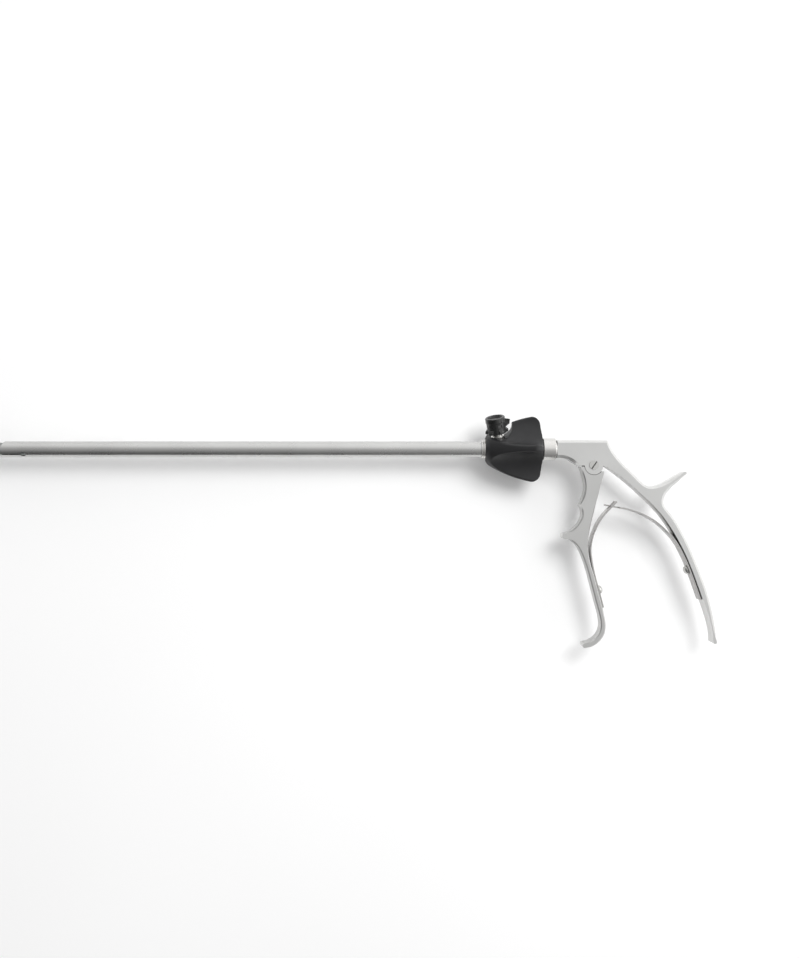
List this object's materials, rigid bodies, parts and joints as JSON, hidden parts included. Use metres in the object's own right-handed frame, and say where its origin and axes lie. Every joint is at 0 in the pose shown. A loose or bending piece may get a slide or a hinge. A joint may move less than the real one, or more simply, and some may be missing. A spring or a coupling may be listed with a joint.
{
  "type": "clip applier",
  "caption": "Laparoscopic clip applier: lever grip with leaf springs, turning finned knob, flushing port, long round shaft and a closing jaw.",
  "frame": {"origin": "on the shaft's axis, where the shaft leaves the ring in front of the rotation knob", "axes": "+X along the shaft from the jaws to the handle, +Y to the top of the handle, away from the grips, +Z to the side that lies upwards"},
  "size_m": [0.476, 0.1451, 0.0408],
  "materials": {
    "shaft_steel": "satin, drawn along the shaft",
    "handle_steel": "fine glass-bead satin",
    "trigger_steel": "fine glass-bead satin",
    "spring_steel": "smooth rolled leaf",
    "jaw_steel": "satin",
    "turned_steel": "turned and polished",
    "port_steel": "polished",
    "screw_steel": "turned, slightly dull",
    "knob_plastic": "moulded, fine matte grain",
    "cap_plastic": "moulded, half gloss",
    "seal_rubber": "soft silicone"
  },
  "bodies": {
    "handle": {"handle_body": "handle_steel", "shaft_collar": "turned_steel", "pivot_screw": "screw_steel", "rod_plug": "screw_steel", "rear_spring": "spring_steel", "rear_spring_screw": "screw_steel"},
    "trigger_lever": {"trigger": "trigger_steel", "pivot_bush": "turned_steel", "front_spring": "spring_steel", "front_spring_screw": "screw_steel"},
    "rotator": {"front_ring": "turned_steel", "front_seal": "seal_rubber", "knob_core": "turned_steel", "journal_clip": "spring_steel", "rotation_knob": "knob_plastic", "drive_key_screw": "screw_steel", "flush_port": "port_steel", "port_gasket": "seal_rubber", "inner_rod": "turned_steel", "fixed_jaw": "jaw_steel", "jaw_pin": "screw_steel", "key_pin": "screw_steel"},
    "shaft_tube": {"outer_tube": "shaft_steel", "drive_sleeve": "turned_steel", "rod_seal": "seal_rubber"},
    "upper_jaw": {"moving_jaw": "jaw_steel"},
    "seal_plug": {"cap_seal": "seal_rubber"},
    "luer_cap": {"port_cap": "cap_plastic"}
  },
  "joints": [
    {"name": "trigger_squeeze", "type": "hinge", "parent": "handle", "child": "trigger_lever", "pos_m": [0.0697, -0.01, 0], "axis": [0, 0, 1], "range_deg": [0, 20], "stiffness_Nm_per_rad": 1.2, "springref_deg": -11.46, "deforming": ["front_spring", "rear_spring"]},
    {"name": "knob_turn", "type": "hinge", "parent": "handle", "child": "rotator", "pos_m": [0, 0, 0], "axis": [1, 0, 0], "continuous": true},
    {"name": "tube_slide", "type": "slide", "parent": "rotator", "child": "shaft_tube", "axis": [-1, 0, 0], "range_m": [0, 0.0036]},
    {"name": "jaw_close", "type": "hinge", "parent": "rotator", "child": "upper_jaw", "pos_m": [-0.2995, 0.0023, 0], "axis": [0, 0, 1], "range_deg": [0, 6.6]},
    {"name": "cap_lift", "type": "slide", "parent": "rotator", "child": "seal_plug", "axis": [-0.1736, 0.9366, 0.3043], "range_m": [0, 0.00254]},
    {"name": "cap_turn", "type": "hinge", "parent": "seal_plug", "child": "luer_cap", "pos_m": [0.0116, 0, 0], "axis": [-0.1736, 0.9366, 0.3043], "range_deg": [0, 181]}
  ],
  "couplings": [
    {"joint": "tube_slide", "follows": "trigger_squeeze", "m_per_rad": 0.01003},
    {"joint": "jaw_close", "follows": "trigger_squeeze", "ratio": 0.325},
    {"joint": "cap_turn", "follows": "cap_lift", "rad_per_m": 1236.8}
  ]
}
